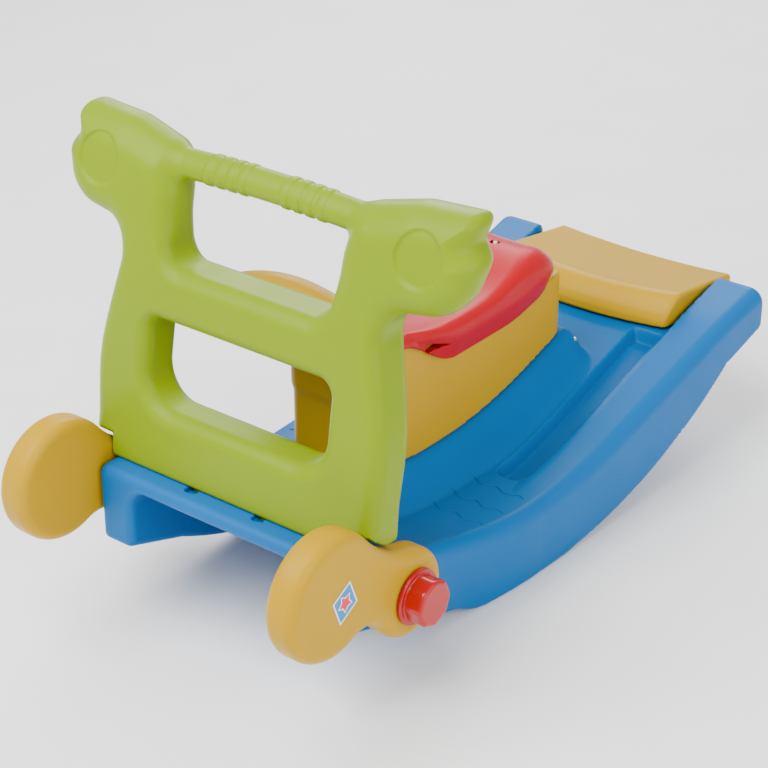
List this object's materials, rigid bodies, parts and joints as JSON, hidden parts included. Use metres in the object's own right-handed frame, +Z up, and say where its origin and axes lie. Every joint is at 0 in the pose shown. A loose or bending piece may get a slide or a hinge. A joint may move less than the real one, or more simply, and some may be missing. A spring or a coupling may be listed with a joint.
{
  "type": "ride_on_toy_rocker",
  "caption": "Toddler ride-on rocker: a curved base on two long runners, a saddle on a pedestal, a leaning handle frame with animal heads, side arms with hand knobs and an end plate.",
  "frame": {"origin": "on the floor, under the middle of the bounding box", "axes": "+Z up, +X along the length from the handle frame towards the end plate, +Y across the width"},
  "size_m": [1.0225, 0.5698, 0.5813],
  "materials": {
    "blue_plastic": "smooth satin blow-moulded plastic",
    "green_plastic": "smooth satin blow-moulded plastic",
    "yellow_plastic": "smooth satin moulded plastic",
    "red_plastic": "glossy moulded plastic",
    "zinc_steel": "zinc-plated",
    "brass": "machined",
    "nylon": "natural nylon",
    "label_film": "printed film"
  },
  "bodies": {
    "base": {"rocker_base": "blue_plastic", "end_plate": "yellow_plastic", "seat_pedestal": "yellow_plastic", "seat_saddle": "red_plastic", "pivot_washer_left": "zinc_steel", "pivot_washer_right": "zinc_steel", "pivot_bolt_left": "zinc_steel", "pivot_bolt_right": "zinc_steel", "pedestal_screw_1": "zinc_steel", "end_plate_screw_1": "zinc_steel", "pedestal_screw_2": "zinc_steel", "end_plate_screw_2": "zinc_steel", "pedestal_screw_3": "zinc_steel", "end_plate_screw_3": "zinc_steel", "pedestal_screw_4": "zinc_steel", "end_plate_screw_4": "zinc_steel", "saddle_screw_1": "zinc_steel", "ridge_screw_1": "zinc_steel", "saddle_screw_2": "zinc_steel", "ridge_screw_2": "zinc_steel"},
    "frame": {"handle_frame": "green_plastic"},
    "arm_left": {"arm_left": "yellow_plastic", "arm_bush_left": "nylon", "label_left": "label_film"},
    "arm_right": {"arm_right": "yellow_plastic", "arm_bush_right": "nylon", "label_right": "label_film"},
    "knob_left": {"knob_left": "red_plastic", "knob_insert_left": "brass"},
    "knob_right": {"knob_right": "red_plastic", "knob_insert_right": "brass"}
  },
  "joints": [
    {"name": "frame_lift", "type": "slide", "parent": "base", "child": "frame", "axis": [0.1702, 0, 0.9854], "range_m": [0, 0.05]},
    {"name": "arm_left_swing", "type": "hinge", "parent": "base", "child": "arm_left", "pos_m": [-0.308, 0.1975, 0.128], "axis": [0, -1, 0], "range_deg": [0, 40]},
    {"name": "arm_right_swing", "type": "hinge", "parent": "base", "child": "arm_right", "pos_m": [-0.308, -0.1975, 0.128], "axis": [0, -1, 0], "range_deg": [0, 40]},
    {"name": "knob_left_turn", "type": "hinge", "parent": "base", "child": "knob_left", "pos_m": [-0.308, 0.2183, 0.128], "axis": [0, 1, 0], "range_deg": [0, 90]},
    {"name": "knob_right_turn", "type": "hinge", "parent": "base", "child": "knob_right", "pos_m": [-0.308, -0.2183, 0.128], "axis": [0, -1, 0], "range_deg": [0, 90]}
  ]
}
